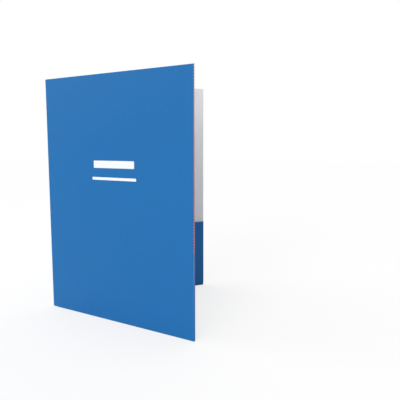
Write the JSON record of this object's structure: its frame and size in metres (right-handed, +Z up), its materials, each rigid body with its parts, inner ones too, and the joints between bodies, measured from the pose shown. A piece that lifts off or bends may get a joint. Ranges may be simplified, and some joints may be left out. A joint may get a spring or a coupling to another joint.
{
  "type": "document folder",
  "caption": "Presentation folder of scored, folded and glued card with a pocket in each cover, standing ajar on its foot; the front cover turns on the spine crease.",
  "frame": {"origin": "middle of the bounding box's base, on the surface that the folder stands on", "axes": "+Z up along the spine crease; the spine is at -X and the covers open towards +X; the front cover is on the -Y side and the back cover on the +Y side, alike about the plane Y = 0"},
  "size_m": [0.202, 0.2158, 0.3048],
  "materials": {
    "printed_card": "blue offset print with a satin coating on the outside of white card",
    "white_card": "matt uncoated white card",
    "dry_glue": "thin clear-drying adhesive film"
  },
  "bodies": {
    "back_cover": {"back_cover": "printed_card", "back_bottom_fold": "printed_card", "back_pocket": "printed_card", "back_side_fold": "printed_card", "back_glue_tab": "white_card", "back_glue_line": "dry_glue", "spine_fold": "printed_card"},
    "front_cover": {"front_cover": "printed_card", "front_bottom_fold": "printed_card", "front_pocket": "printed_card", "front_side_fold": "printed_card", "front_glue_tab": "white_card", "front_glue_line": "dry_glue"}
  },
  "joints": [
    {"name": "spine_hinge", "type": "hinge", "parent": "back_cover", "child": "front_cover", "pos_m": [-0.09951, 0, 0.1524], "axis": [0, 0, -1], "range_deg": [-55, 124], "deforming": ["spine_fold"]}
  ]
}
